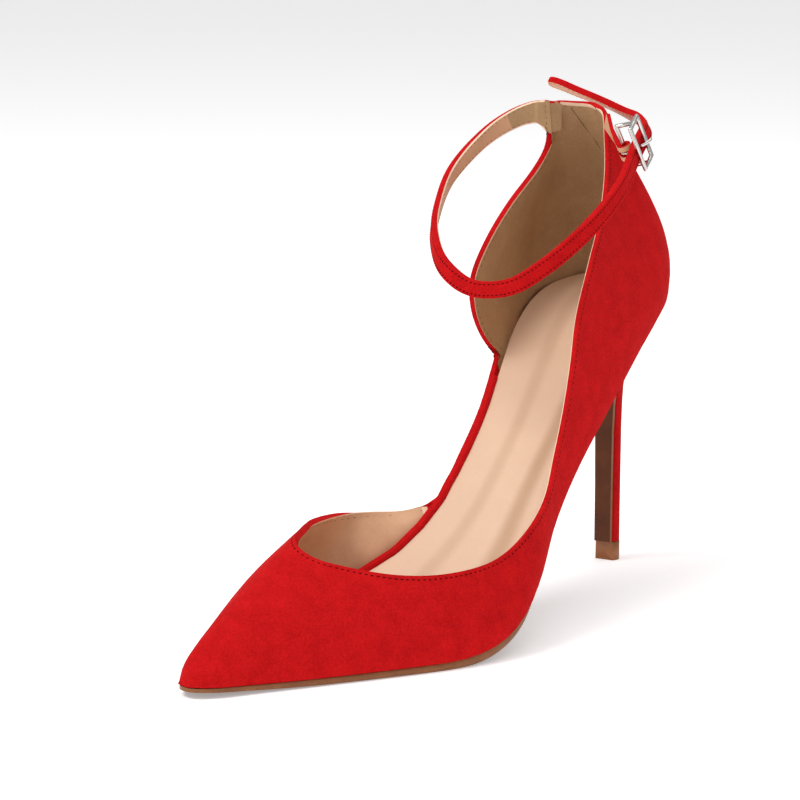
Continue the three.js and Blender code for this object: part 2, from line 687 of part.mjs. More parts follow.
// Edges of the strap below and above its middle line, counted from its root at the neck, then from its tip
const STRAP_ROOT = [
  { along: 0, below: 7.9, above: 3.4 },
  { along: 0.6, below: 6.2, above: 3.4 },
  { along: 1.4, below: 4.9, above: 3.4 },
  { along: 2.6, below: 4.1, above: 3.4 },
  { along: 4.2, below: 3.6, above: 3.3 },
  { along: 8, below: 3.2, above: 3.2 },
  { along: 16, below: 2.9, above: 2.9 },
  { along: 25, below: STRAP_WIDTH / 2, above: STRAP_WIDTH / 2 },
];
const STRAP_TIP = [
  { along: 0, half: 0.9 },
  { along: 0.4, half: 1.5 },
  { along: 1.1, half: 2.1 },
  { along: 2.6, half: STRAP_WIDTH / 2 },
];

// Point round the ankle, whose rise counts from the heel neck's foot
function anklePoint(row) {
  return at(ahead(row.along), aside(row.across), archHeight(ahead(NECK_ALONG)) + row.rise * COLLAR_RISE);
}

function strapWidthHint(row) {
  const middle = anklePoint({ ...ANKLE_MIDDLE, rise: row.rise });
  const inward = middle.sub(anklePoint(row)).normalize();
  return at(0, 0, 1).addScaledVector(inward, row.lean).normalize();
}

const strapMiddles = STRAP_ROUTE.map(anklePoint);
const strapHints = STRAP_ROUTE.map(strapWidthHint);

// Buckle frame of reference: x along the strap, y across its width, z out of it
const buckle = new THREE.Group();
const strapCurve = new THREE.CatmullRomCurve3(strapMiddles, false, 'centripetal');
const buckleShare = BUCKLE_STATION / (STRAP_ROUTE.length - 1);
const alongStrap = strapCurve.getTangent(buckleShare);
const acrossStrap = strapHints[BUCKLE_STATION].clone();
acrossStrap.addScaledVector(alongStrap, -acrossStrap.dot(alongStrap)).normalize();
const outOfStrap = alongStrap.clone().cross(acrossStrap);
buckle.position.copy(strapMiddles[BUCKLE_STATION]);
buckle.quaternion.setFromRotationMatrix(new THREE.Matrix4().makeBasis(alongStrap, acrossStrap, outOfStrap));
buckle.updateMatrixWorld(true);

// Cutting and joining of closed bodies
const wasm = await Module();
wasm.setup();

function toSolid(geometry) {
  const bare = new THREE.BufferGeometry();
  bare.setAttribute('position', geometry.getAttribute('position').clone());
  if (geometry.getIndex()) {
    bare.setIndex(geometry.getIndex().clone());
  }
  const merged = mergeVertices(bare, 1e-4);
  const mesh = new wasm.Mesh({
    numProp: 3,
    vertProperties: new Float32Array(merged.getAttribute('position').array),
    triVerts: new Uint32Array(merged.getIndex().array),
  });
  return new wasm.Manifold(mesh);
}

function fromSolid(solid) {
  const mesh = solid.getMesh();
  const geometry = new THREE.BufferGeometry();
  geometry.setAttribute('position', new THREE.BufferAttribute(new Float32Array(mesh.vertProperties), 3));
  geometry.setIndex(Array.from(mesh.triVerts));
  const flat = geometry.toNonIndexed();
  flat.computeVertexNormals();
  return flat;
}

// Straight round wire between two points, with a ball at each end
function wireSolid(from, to, radius) {
  const bar = new THREE.CylinderGeometry(radius, radius, from.distanceTo(to), 12);
  const turn = new THREE.Quaternion().setFromUnitVectors(
    new THREE.Vector3(0, 1, 0),
    to.clone().sub(from).normalize(),
  );
  bar.applyQuaternion(turn);
  const middle = from.clone().lerp(to, 0.5);
  bar.translate(middle.x, middle.y, middle.z);
  let solid = toSolid(bar);
  for (const end of [from, to]) {
    const ball = new THREE.SphereGeometry(radius * 1.01, 10, 8);
    ball.translate(end.x, end.y, end.z);
    solid = solid.add(toSolid(ball));
  }
  return solid;
}

const PIVOT_DEPTH = -(STRAP_THICKNESS / 2 + GAP + TAB_THICKNESS + GAP + BUCKLE_WIRE / 2);
const FRAME_DEPTH = STRAP_THICKNESS / 2 + GAP + BUCKLE_WIRE / 2;
// The buckle has slid this far up through the tab's loop
const FRAME_RISE = 2;

function buckleFrameGeometry() {
  const radius = BUCKLE_WIRE / 2;
  const x = BUCKLE_LENGTH / 2 - radius;
  const y = BUCKLE_HEIGHT / 2 - radius;
  const low = FRAME_RISE - y;
  const high = FRAME_RISE + y;
  const plan = [[-x, low], [x, low], [x, high], [-x, high]];
  const corners = plan.map(([u, v]) => new THREE.Vector3(u, v, FRAME_DEPTH));
  const runs = corners.map((corner, i) => [corner, corners[(i + 1) % 4]]);
  const pivotEnds = [low, high].map((v) => new THREE.Vector3(0, v, PIVOT_DEPTH));
  runs.push(pivotEnds);
  runs.push([pivotEnds[0], new THREE.Vector3(0, low, FRAME_DEPTH)]);
  runs.push([pivotEnds[1], new THREE.Vector3(0, high, FRAME_DEPTH)]);
  return fromSolid(runs.map(([a, b]) => wireSolid(a, b, radius)).reduce((a, b) => a.add(b)));
}

// Prong: a ring round the pivot bar, then up through the strap and over the far bar
const PRONG_HOLE = { from: 0.3, to: 3.2, width: 1.8 };
const PRONG_TURNS = [-60, -110, -160, -210, -250, -285, -315];
const PRONG_PLAY = 0.12;
const PRONG_PATH = [
  { along: 1.6, out: -0.6 },
  { along: 2.2, out: 1.6 },
  { along: 3.3, out: 2.7 },
];
const PRONG_REACH = 0.4;
const PRONG_STEPS = 40;

function prongGeometry() {
  const radius = PRONG_WIRE / 2;
  const ring = BUCKLE_WIRE / 2 + radius + PRONG_PLAY;
  const points = PRONG_TURNS.map((degrees) => {
    const turn = THREE.MathUtils.degToRad(degrees);
    return new THREE.Vector3(Math.cos(turn) * ring, 0, PIVOT_DEPTH + Math.sin(turn) * ring);
  });
  const over = FRAME_DEPTH + BUCKLE_WIRE / 2 + radius + PRONG_PLAY;
  points.push(...PRONG_PATH.map((row) => new THREE.Vector3(row.along, 0, row.out)));
  points.push(new THREE.Vector3(BUCKLE_LENGTH / 2 - BUCKLE_WIRE / 2, 0, over));
  points.push(new THREE.Vector3(BUCKLE_LENGTH / 2 + PRONG_REACH, 0, over - PRONG_PLAY));
  const curve = new THREE.CatmullRomCurve3(points, false, 'centripetal');
  const section = new THREE.Shape().absarc(0, 0, radius, 0, 2 * Math.PI, false);
  const options = { extrudePath: curve, steps: PRONG_STEPS, curveSegments: 8, bevelEnabled: false };
  return new THREE.ExtrudeGeometry(section, options);
}

// Buckle tab: from the outer corner of the heel neck to the pivot bar and round it, slotted for the prong
const TAB_LOOP_TURNS = [215, 180, 145, 110, 75, 40, 5, -25];
const TAB_ROOT = { along: 0.132, across: 0.076, rise: 0.926 };
const TAB_EDGES = { below: STRAP_WIDTH / 2, above: STRAP_WIDTH / 2 };
const TAB_STEP = 0.9;
const TAB_SLOT = { length: 4, depth: 2.4, out: 0.2 };

function tabGeometry() {
  const radius = BUCKLE_WIRE / 2 + GAP + TAB_THICKNESS / 2;
  const loop = TAB_LOOP_TURNS.map((degrees) => {
    const turn = THREE.MathUtils.degToRad(degrees);
    return new THREE.Vector3(Math.cos(turn) * radius, 0, PIVOT_DEPTH + Math.sin(turn) * radius);
  });
  const root = buckle.worldToLocal(anklePoint(TAB_ROOT));
  const route = [root, root.clone().lerp(loop[0], 0.5), ...loop];
  const upright = at(0, 0, 1).applyQuaternion(buckle.quaternion.clone().invert());
  const hints = route.map((_, i) => (i === 0 ? upright : new THREE.Vector3(0, 1, 0)));
  const places = (length) => evenPlaces(0, length, TAB_STEP);
  const band = toSolid(bandGeometry(route, hints, places, () => TAB_EDGES, TAB_THICKNESS));
  const slot = new THREE.BoxGeometry(
    2 * radius + TAB_SLOT.length,
    PRONG_HOLE.width,
    2 * radius + TAB_SLOT.depth,
  );
  slot.translate(0, 0, PIVOT_DEPTH + TAB_SLOT.out);
  return fromSolid(band.subtract(toSolid(slot)));
}

const STRAP_STEP = 2.6;

function strapGeometry() {
  const rootBelow = tableReader(STRAP_ROOT, 'along', 'below');
  const rootAbove = tableReader(STRAP_ROOT, 'along', 'above');
  const tipHalf = tableReader(STRAP_TIP, 'along', 'half');
  const rootLength = STRAP_ROOT[STRAP_ROOT.length - 1].along;
  const tipLength = STRAP_TIP[STRAP_TIP.length - 1].along;
  const places = (length) => [
    ...STRAP_ROOT.slice(0, -3).map((row) => row.along),
    ...evenPlaces(STRAP_ROOT[STRAP_ROOT.length - 3].along, length - tipLength, STRAP_STEP),
    ...STRAP_TIP.slice(0, -1).map((row) => length - row.along).reverse(),
  ];
  const edgesAt = (along, length) => {
    if (along > length - tipLength) {
      const half = tipHalf(length - along);
      return { below: half, above: half };
    }
    const near = Math.min(along, rootLength);
    return { below: rootBelow(near), above: rootAbove(near) };
  };
  const band = bandGeometry(strapMiddles, strapHints, places, edgesAt, STRAP_THICKNESS);
  const hole = new THREE.BoxGeometry(PRONG_HOLE.to - PRONG_HOLE.from, PRONG_HOLE.width, 2 * STRAP_THICKNESS);
  hole.translate((PRONG_HOLE.from + PRONG_HOLE.to) / 2, 0, 0);
  hole.applyMatrix4(buckle.matrixWorld);
  return fromSolid(toSolid(band).subtract(toSolid(hole)));
}

// Materials
function material(color, roughness, metalness = 0) {
  return new THREE.MeshStandardMaterial({ color, roughness, metalness });
}

const suede = material(0xc41a1c, 0.95);
const sock = material(0xdcb094, 0.6);
const soleLeather = material(0x7a4a2c, 0.5);
const tipRubber = material(0x91552a, 0.55);
const plated = material(0xc8c8cc, 0.2, 1);

const shoe = new THREE.Group();

function add(parent, name, geometry, skin) {
  const mesh = new THREE.Mesh(geometry, skin);
  mesh.name = name;
  parent.add(mesh);
}

add(shoe, 'upper', upperGeometry(), suede);
add(shoe, 'insole', insoleGeometry(), sock);
add(shoe, 'outsole', outsoleGeometry(), soleLeather);
add(shoe, 'heel', heelGeometry(), suede);
add(shoe, 'top_lift', topLiftGeometry(), tipRubber);
add(shoe, 'ankle_strap', strapGeometry(), suede);
add(buckle, 'buckle_tab', tabGeometry(), suede);
add(buckle, 'buckle_frame', buckleFrameGeometry(), plated);
add(buckle, 'buckle_prong', prongGeometry(), plated);
shoe.add(buckle);

export default shoe;
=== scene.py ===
"""Left stiletto pump in red suede with a cut-away inner side and a buckled ankle strap."""

import logging
import math
from dataclasses import dataclass, field
from enum import Enum, IntEnum
from typing import Any, Callable, Iterable, Sequence

import bmesh
import bpy
from mathutils import Matrix, Vector
from mathutils.bvhtree import BVHTree


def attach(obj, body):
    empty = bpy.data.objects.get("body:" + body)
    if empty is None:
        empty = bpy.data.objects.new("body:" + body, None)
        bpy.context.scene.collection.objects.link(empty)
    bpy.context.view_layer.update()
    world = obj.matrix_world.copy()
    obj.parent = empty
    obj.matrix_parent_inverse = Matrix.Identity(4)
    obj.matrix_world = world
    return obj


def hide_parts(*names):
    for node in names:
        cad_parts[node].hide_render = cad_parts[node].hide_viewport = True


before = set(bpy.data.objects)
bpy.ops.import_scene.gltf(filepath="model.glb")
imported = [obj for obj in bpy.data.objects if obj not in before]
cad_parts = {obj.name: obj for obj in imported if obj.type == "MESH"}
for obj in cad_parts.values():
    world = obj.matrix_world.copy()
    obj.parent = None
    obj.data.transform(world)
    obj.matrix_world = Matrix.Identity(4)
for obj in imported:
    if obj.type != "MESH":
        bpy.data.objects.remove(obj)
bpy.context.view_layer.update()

log = logging.getLogger("pump")
MM = 0.001
ANKLE = Vector((0, -46 * MM, 0))
# Name of the sock's attribute, and how far its deepest strip of painted fold shade leads to the dark colour
ACROSS = "across"
FOLD_SHADE_DEPTH = 0.2
# Share of the tone at which a finish is all dark, and all light
DARK_UP_TO = 0.32
LIGHT_FROM = 0.68
# Edges that bend more than these part two surfaces, and stay sharp
BEND_DEG = 50
SHARP_DEG = 38
# How far two triangles may be from a rectangle and still be joined
SKEW_DEG = 70
# How sharp an edge stays when its piece is rounded: bent edges, and edges that aren't to move
CREASE_LAYER = "crease_edge"
SHARP_CREASE = 0.9
HELD_CREASE = 1.0
# A wall's faces have no more than this many wall thicknesses behind them
WALL_SLACK = 1.35
# Share of its thickness that a thread lies under the surface
SUNK_SHARE = 0.2
# A stitch is left out where it would lie nearer the edge, or further off, than these shares of its inset
NEAREST_ROW, FURTHEST_ROW = 0.6, 1.6
# Beads of a raised seam: distance apart, half width and height, and half length as a share of the distance
RIDGE_STEP_MM = 1.2
RIDGE_HALF_MM = (0.16, 0.14)
RIDGE_LAP = 0.8
# The footbed's surface, to tell what stands low beside it
FOOTBED_TREE = BVHTree.FromPolygons(
    [v.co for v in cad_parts["insole"].data.vertices],
    [p.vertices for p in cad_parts["insole"].data.polygons],
)


def linear(colour: str, alpha: float = 1.0) -> tuple[float, float, float, float]:
    """Linear colour of an sRGB hex value.

    Args:
        colour: hex value such as "#C4191C".
        alpha: opacity.

    Returns:
        Red, green, blue and alpha.
    """
    parts = [int(colour[i : i + 2], 16) / 255 for i in (1, 3, 5)]
    bent = [p / 12.92 if p <= 0.04045 else ((p + 0.055) / 1.055) ** 2.4 for p in parts]
    return (bent[0], bent[1], bent[2], alpha)


def add_node(
    tree: bpy.types.NodeTree,
    kind: str,
    settings: dict[str, Any] | None = None,
    links: dict[str, Any] | None = None,
) -> bpy.types.Node:
    """Adds a node.

    Args:
        tree: node tree it goes in.
        kind: Blender's name for the node's type.
        settings: values by property name, or by input name or number.
        links: output sockets by the name or number of the input they feed.

    Returns:
        The new node.
    """
    made = tree.nodes.new(kind)
    for key, value in (settings or {}).items():
        if isinstance(key, int) or key in made.inputs:
            made.inputs[key].default_value = value
        else:
            setattr(made, key, value)
    for key, socket in (links or {}).items():
        tree.links.new(socket, made.inputs[key])
    return made


@dataclass(frozen=True)
class Finish:
    """A material with a mottled colour and a fine bump.

    Attributes:
        name: the material's name.
        light: the colour of the raised or brushed-up areas.
        dark: the colour of the flattened areas.
        patch_mm: the size of the colour's patches.
        grain_mm: the size of the surface's grain.
        grain_depth_mm: how deep the grain is.
        speckle: how much of the colour's change comes from the grain, from 0 to 1.
        roughness: the shader's roughness.
        metallic: the shader's metallic value.
        sheen: the weight of the soft sheen.
        sheen_tint: the sheen's colour.
        coat: the weight of the clear coat.
        specular: the shader's specular level.
        glow: how much light the surface sends out by itself.
    """

    name: str
    light: str
    dark: str
    patch_mm: float = 9.0
    grain_mm: float = 0.5
    grain_depth_mm: float = 0.05
    speckle: float = 0.0
    roughness: float = 0.6
    metallic: float = 0.0
    sheen: float = 0.0
    sheen_tint: str = "#FFFFFF"
    coat: float = 0.0
    specular: float = 0.5
    glow: float = 0.0

    def noise(self, tree: bpy.types.NodeTree, size_mm: float, detail: float) -> bpy.types.NodeSocket:
        """Adds a cloudy noise over the piece.

        Args:
            tree: node tree it goes in.
            size_mm: size of its clouds.
            detail: how many finer layers it has.

        Returns:
            Its value, about 0.5 on average.
        """
        place = add_node(tree, "ShaderNodeTexCoord").outputs["Object"]
        settings = {"Scale": 1000 / size_mm, "Detail": detail, "Roughness": 0.6}
        return add_node(tree, "ShaderNodeTexNoise", settings, {"Vector": place}).outputs["Fac"]

    def tone(self, tree: bpy.types.NodeTree, grain: bpy.types.NodeSocket) -> bpy.types.NodeSocket:
        """Adds the mix of patches and grain that the colour follows.

        Args:
            tree: node tree it goes in.
            grain: the grain's value.

        Returns:
            The value that leads from the dark to the light colour.
        """
        patches = self.noise(tree, self.patch_mm, 4.0)
        return add_node(tree, "ShaderNodeMix", {0: self.speckle}, {2: patches, 3: grain}).outputs[0]

    def build(self) -> bpy.types.Material:
        """Makes the material."""
        skin = bpy.data.materials.new(self.name)
        skin.use_nodes = True
        tree = skin.node_tree
        tree.nodes.clear()
        grain = self.noise(tree, self.grain_mm, 3.0)
        ramp = add_node(tree, "ShaderNodeValToRGB", None, {"Fac": self.tone(tree, grain)})
        ramp.color_ramp.elements[0].position = DARK_UP_TO
        ramp.color_ramp.elements[0].color = linear(self.dark)
        ramp.color_ramp.elements[1].position = LIGHT_FROM
        ramp.color_ramp.elements[1].color = linear(self.light)
        bump = add_node(
            tree,
            "ShaderNodeBump",
            {"Strength": 1.0, "Distance": self.grain_depth_mm * MM},
            {"Height": grain},
        )
        shader = add_node(
            tree,
            "ShaderNodeBsdfPrincipled",
            {
                "Roughness": self.roughness,
                "Metallic": self.metallic,
                "Sheen Weight": self.sheen,
                "Sheen Roughness": 0.4,
                "Sheen Tint": linear(self.sheen_tint),
                "Coat Weight": self.coat,
                "Coat Roughness": 0.25,
                "Specular IOR Level": self.specular,
                "Emission Color": (1.0, 1.0, 1.0, 1.0),
                "Emission Strength": self.glow,
            },
            {"Base Color": ramp.outputs["Color"], "Normal": bump.outputs["Normal"]},
        )
        add_node(tree, "ShaderNodeOutputMaterial", None, {"Surface": shader.outputs["BSDF"]})
        return skin


@dataclass(frozen=True)
class FoldShadeFinish(Finish):
    """A finish with soft darker strips along the foot, painted shade of the sock's folds.

    Attributes:
        fold_shade_bands: place, half width and depth of each strip of painted fold shade, in shares of the
            sock's half width.
        evenness: the tone between the strips of painted shade, from dark to light.
        cloudiness: how far the tone follows the patches and grain.
    """

    fold_shade_bands: tuple[tuple[float, float, float], ...] = ((0.45, 0.26, 1.0), (-0.3, 0.22, 0.5))
    evenness: float = 0.64
    cloudiness: float = 0.14

    def tone(self, tree: bpy.types.NodeTree, grain: bpy.types.NodeSocket) -> bpy.types.NodeSocket:
        """Adds the painted fold shade to the finish's own tone.

        Args:
            tree: node tree it goes in.
            grain: the grain's value.

        Returns:
            The value that leads from the dark to the light colour.
        """
        cloud = super().tone(tree, grain)
        level = add_node(tree, "ShaderNodeMix", {0: self.cloudiness, 2: self.evenness}, {3: cloud}).outputs[0]
        across = add_node(tree, "ShaderNodeAttribute", {"attribute_name": ACROSS}).outputs["Fac"]
        # Each strip darkens the tone as painted shade of a fold in the sock
        for place, half_width, depth in self.fold_shade_bands:
            away = add_node(tree, "ShaderNodeMath", {"operation": "SUBTRACT", 1: place}, {0: across})
            away = add_node(tree, "ShaderNodeMath", {"operation": "ABSOLUTE"}, {0: away.outputs[0]})
            fold_shade = add_node(
                tree,
                "ShaderNodeMapRange",
                {
                    "interpolation_type": "SMOOTHERSTEP",
                    "From Min": 0.0,
                    "From Max": half_width,
                    "To Min": depth * FOLD_SHADE_DEPTH,
                    "To Max": 0.0,
                },
                {"Value": away.outputs[0]},
            )
            level = add_node(
                tree, "ShaderNodeMath", {"operation": "SUBTRACT"}, {0: level, 1: fold_shade.outputs["Result"]}
            ).outputs[0]
        return level


class Skin(Enum):
    """The finishes of the shoe's pieces."""

    # Goat suede, buffed to a nap: matt, with a soft sheen, faint brushed patches and a fine speckle
    RED_SUEDE = Finish(
        "red_goat_suede_buffed", "#D0181B", "#A80D10", 5.5, 0.6, 0.12, 0.6,
        roughness=0.95, sheen=0.12, sheen_tint="#FF3A30", specular=0.06,
    )
    # Calf lining leather, aniline dyed: a dull tan with faint clouds; darker than the vamp's pale lining
    # partly by its own colour and partly as painted shade of the heel cup
    QUARTER_LINING = Finish(
        "tan_lining_leather_and_painted_shade", "#BD9A74", "#A98560", 10.0, 0.6, 0.04, 0.5, roughness=0.7, specular=0.2,
    )
    # Pigskin lining under the vamp, drum dyed: paler and pinker
    VAMP_LINING = Finish(
        "pale_lining_leather_dyed", "#DDAE8A", "#CB9975", 12.0, 0.6, 0.03, 0.3, roughness=0.6, specular=0.3,
    )
    # Glazed sheepskin sock: smooth and slightly shiny, with painted shade of its folds in two darker
    # lengthwise strips
    SOCK_LEATHER = FoldShadeFinish(
        "nude_sock_leather_glazed_painted_fold_shade", "#EBC7AA", "#B88D6C", 14.0, 0.8, 0.02, 0.4,
        roughness=0.5, coat=0.05, specular=0.35,
    )
    # Cut edge of the lining, painted cream
    CREAM_EDGE = Finish("cream_edge_paint", "#FBDCC0", "#F3CDAC", 5.0, 0.6, 0.02, roughness=0.55)
    # Vegetable-tanned sole leather, burnished: a darker brown, given to the faces that point down and to the
    # tongue's forward faces
    SOLE_LEATHER = Finish(
        "brown_sole_leather_burnished", "#6A3A20", "#522B17", 10.0, 0.5, 0.03, 0.2,
        roughness=0.6, specular=0.2,
    )
    # Edge of the same leather, trimmed and waxed: paler than the faces that point down
    SOLE_EDGE = Finish(
        "tan_sole_edge_waxed", "#96623A", "#7A4A29", 6.0, 0.5, 0.03, 0.3, roughness=0.5, specular=0.3,
    )
    # Injection-moulded polyurethane of the top lift: plain and satin
    TIP_RUBBER = Finish("tan_heel_tip_moulded", "#9C5F31", "#8D5329", 4.0, 0.5, 0.01, roughness=0.45)
    # Zinc die-casting, nickel plated and polished: bright reflections
    PLATED_METAL = Finish(
        "nickel_plated_zinc_polished", "#DAD8D4", "#CFCDC9", 6.0, 2.0, 0.004, roughness=0.16, metallic=1.0,
    )
    # Bonded polyester thread, twisted and dyed
    RED_THREAD = Finish(
        "dark_red_thread_twisted", "#5E0709", "#4A0507", 2.0, 0.3, 0.03, roughness=0.9, specular=0.05,
    )
    TAN_THREAD = Finish(
        "brown_thread_twisted", "#7E6044", "#6B4E33", 2.0, 0.3, 0.03, roughness=0.9, specular=0.05,
    )

    def material(self) -> bpy.types.Material:
        """The material of this finish, made once."""
        found = bpy.data.materials.get(self.value.name)
        return found or self.value.build()


def merged_copy(node: str) -> bmesh.types.BMesh:
    """Mesh of a CAD node with its shared corners merged.

    Args:
        node: the node's name.

    Returns:
        A new bmesh.
    """
    mesh = bmesh.new()
    mesh.from_mesh(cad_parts[node].data)
    bmesh.ops.remove_doubles(mesh, verts=mesh.verts, dist=0.01 * MM)
    mesh.normal_update()
    return mesh


def join_to_quads(mesh: bmesh.types.BMesh) -> None:
    """Joins triangles that lie nearly flat to each other, within one material."""
    bmesh.ops.join_triangles(
        mesh,
        faces=mesh.faces,
        cmp_materials=True,
        angle_face_threshold=math.radians(BEND_DEG),
        angle_shape_threshold=math.radians(SKEW_DEG),
    )
    mesh.normal_update()


def keep_sharp_edges(mesh: bmesh.types.BMesh, held_behind_mm: float = -math.inf) -> None:
    """Creases a mesh's sharp edges, unless it has creases of its own.

    Args:
        mesh: the mesh.
        held_behind_mm: distance ahead of the heel behind which no edge is rounded.
    """
    if CREASE_LAYER in mesh.edges.layers.float:
        return
    crease = mesh.edges.layers.float.new(CREASE_LAYER)
    for edge in mesh.edges:
        held = all(-v.co.y < held_behind_mm * MM for v in edge.verts)
        if held or edge.calc_face_angle(0.0) > math.radians(SHARP_DEG):
            edge[crease] = HELD_CREASE if held else SHARP_CREASE


def loft(sections: Sequence[Sequence[Vector]]) -> bmesh.types.BMesh:
    """Closed body through sections with the same number of corners.

    Args:
        sections: the corners of each section, in the same order.

    Returns:
        A new bmesh.
    """
    mesh = bmesh.new()
    face = mesh.faces.new([mesh.verts.new(corner) for corner in sections[0]])
    for number, corners in enumerate(sections[1:]):
        grown = bmesh.ops.extrude_face_region(mesh, geom=[face], use_keep_orig=number == 0)["geom"]
        face = next(g for g in grown if isinstance(g, bmesh.types.BMFace))
        for loop, corner in zip(face.loops, corners):
            loop.vert.co = corner
    bmesh.ops.recalc_face_normals(mesh, faces=mesh.faces)
    return mesh


def finish_piece(
    mesh: bmesh.types.BMesh,
    name: str,
    skins: Sequence[Skin],
    stands_for: Iterable[str] = (),
    rounds: int = 0,
) -> bpy.types.Object:
    """Turns a bmesh into a finished piece of the shoe.

    Args:
        mesh: the piece's mesh, which is freed.
        name: the piece's name.
        skins: the finishes in order of material number.
        stands_for: CAD nodes that the piece replaces.
        rounds: how often the mesh is subdivided and smoothed.

    Returns:
        The new object.
    """
    if rounds:
        keep_sharp_edges(mesh)
    data = bpy.data.meshes.new(name)
    mesh.to_mesh(data)
    mesh.free()
    for skin in skins:
        data.materials.append(skin.material())
    for face in data.polygons:
        face.use_smooth = True
    data.set_sharp_from_angle(angle=math.radians(SHARP_DEG))
    piece = bpy.data.objects.new(name, data)
    bpy.context.scene.collection.objects.link(piece)
    if rounds:
        smoother = piece.modifiers.new("smooth_form", "SUBSURF")
        smoother.levels = rounds
        smoother.render_levels = rounds
    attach(piece, "root")
    if stands_for:
        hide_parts(*stands_for)
    log.info("%s: %d faces", name, len(data.polygons))
    return piece


def joined_faces(faces: Iterable[bmesh.types.BMFace], bend_deg: float) -> list[set[bmesh.types.BMFace]]:
    """Groups faces that meet at less than a given bend.

    Args:
        faces: the faces.
        bend_deg: edges that bend more than this part two groups.

    Returns:
        The groups, the one of largest area first.
    """
    left = set(faces)
    groups = []
    while left:
        group = [left.pop()]
        for face in group:
            for edge in face.edges:
                if edge.calc_face_angle(math.pi) < math.radians(bend_deg):
                    for other in edge.link_faces:
                        if other in left:
                            left.remove(other)
                            group.append(other)
        groups.append(set(group))
    return sorted(groups, key=lambda g: -sum(f.calc_area() for f in g))


class Side(IntEnum):
    """Sides of a thin wall, as material numbers while it is worked on."""

    OUTER = 0
    INNER = 1
    RIM = 2


def part_wall(
    mesh: bmesh.types.BMesh,
    wall_mm: float,
    outwardness: Callable[[Iterable[bmesh.types.BMFace]], float],
) -> None:
    """Gives each face of a thin wall the number of its side, and joins its triangles to quads.

    Args:
        mesh: the wall's mesh.
        wall_mm: the wall's thickness; faces with more material behind them are rims.
        outwardness: how far a group of faces looks out of the shoe.
    """
    tree = BVHTree.FromBMesh(mesh)
    sheets = []
    for face in mesh.faces:
        start = face.calc_center_median() - face.normal * 0.02 * MM
        behind = tree.ray_cast(start, -face.normal)[3]
        face.material_index = Side.RIM
        if behind is not None and behind < WALL_SLACK * wall_mm * MM:
            sheets.append(face)
    first, second = joined_faces(sheets, BEND_DEG)[:2]
    outer, inner = (first, second) if outwardness(first) > outwardness(second) else (second, first)
    for side, faces in ((Side.OUTER, outer), (Side.INNER, inner)):
        for face in faces:
            face.material_index = side
    join_to_quads(mesh)


def on_side(mesh: bmesh.types.BMesh, side: Side) -> list[bmesh.types.BMFace]:
    """Faces of one side of a parted wall."""
    return [f for f in mesh.faces if f.material_index == side]


@dataclass
class Edging:
    """A line of border edges with the direction into the surface beside each.

    Attributes:
        edges: the mesh's edges, in order.
        points: the points, one more than the edges.
        inward: directions from each edge into the surface.
    """

    edges: list[bmesh.types.BMEdge]
    points: list[Vector]
    inward: list[Vector]

    def walk(self, step: float) -> Iterable[tuple[Vector, Vector, Vector]]:
        """Places at even steps along the line.

        Args:
            step: distance from one place to the next.

        Yields:
            The place, the direction along the line and the direction inwards.
        """
        due = step / 2
        passed = 0.0
        count = len(self.edges)
        for i, (a, b) in enumerate(zip(self.points, self.points[1:])):
            length = (b - a).length
            near = self.inward[max(i - 1, 0)] + self.inward[i] + self.inward[min(i + 1, count - 1)]
            while length and due <= passed + length:
                yield a.lerp(b, (due - passed) / length), (b - a).normalized(), near.normalized()
                due += step
            passed += length


def middle_of(edge: bmesh.types.BMEdge) -> Vector:
    """The middle of an edge."""
    return (edge.verts[0].co + edge.verts[1].co) / 2


def in_order(edges: Iterable[bmesh.types.BMEdge]) -> list[bmesh.types.BMEdge]:
    """Edges sorted by their place, so that each run takes them in the same order."""
    return sorted(edges, key=lambda e: tuple(round(c / MM, 4) for c in middle_of(e)))


def straightest(
    before: bmesh.types.BMVert, end: bmesh.types.BMVert, left: set[bmesh.types.BMEdge]
) -> bmesh.types.BMEdge | None:
    """The edge that goes on most nearly straight from the end of a line.

    Args:
        before: the line's last corner but one.
        end: its last corner.
        left: the edges that may be taken.

    Returns:
        The edge, or None if none is left there.
    """
    way = (end.co - before.co).normalized()
    nearby = [e for e in end.link_edges if e in left]
    return max(nearby, key=lambda e: way.dot((e.other_vert(end).co - end.co).normalized()), default=None)


def edgings(faces: Iterable[bmesh.types.BMFace]) -> list[Edging]:
    """Lines along which a group of faces ends.

    Args:
        faces: the faces.

    Returns:
        The lines, the longest first.
    """
    group = set(faces)
    left = {e for f in group for e in f.edges if any(o not in group for o in e.link_faces)}
    lines = []
    for edge in in_order(left):
        if edge not in left:
            continue
        left.remove(edge)
        line = [edge]
        verts = sorted(edge.verts, key=lambda v: tuple(v.co))
        for _ in range(2):
            while onward := straightest(verts[-2], verts[-1], left):
                left.remove(onward)
                line.append(onward)
                verts.append(onward.other_vert(verts[-1]))
            line.reverse()
            verts.reverse()
        inward = []
        for e in line:
            beside = next(f for f in e.link_faces if f in group)
            along = (e.verts[1].co - e.verts[0].co).normalized()
            into = beside.calc_center_median() - e.verts[0].co
            inward.append((into - along * into.dot(along)).normalized())
        lines.append(Edging(line, [v.co.copy() for v in verts], inward))
    return sorted(lines, key=lambda l: -sum(e.calc_length() for e in l.edges))


def sheet_tree(mesh: bmesh.types.BMesh, side: Side) -> BVHTree:
    """Search tree of one side of a parted wall."""
    sheet = mesh.copy()
    others = [f for f in sheet.faces if f.material_index != side]
    bmesh.ops.delete(sheet, geom=others, context="FACES")
    tree = BVHTree.FromBMesh(sheet)
    sheet.free()
    return tree


def add_thread(
    into: bmesh.types.BMesh, spot: Vector, turn: Matrix, half: tuple[float, float, float]
) -> None:
    """Adds one long rounded stitch.

    Args:
        into: mesh it goes in.
        spot: its middle.
        turn: directions along it, across it and off the surface, as columns.
        half: its half length, half width and half height.
    """
    place = Matrix.Translation(spot) @ turn.to_4x4() @ Matrix.Diagonal((*half, 1))
    bmesh.ops.create_icosphere(into, subdivisions=1, radius=1.0, matrix=place)


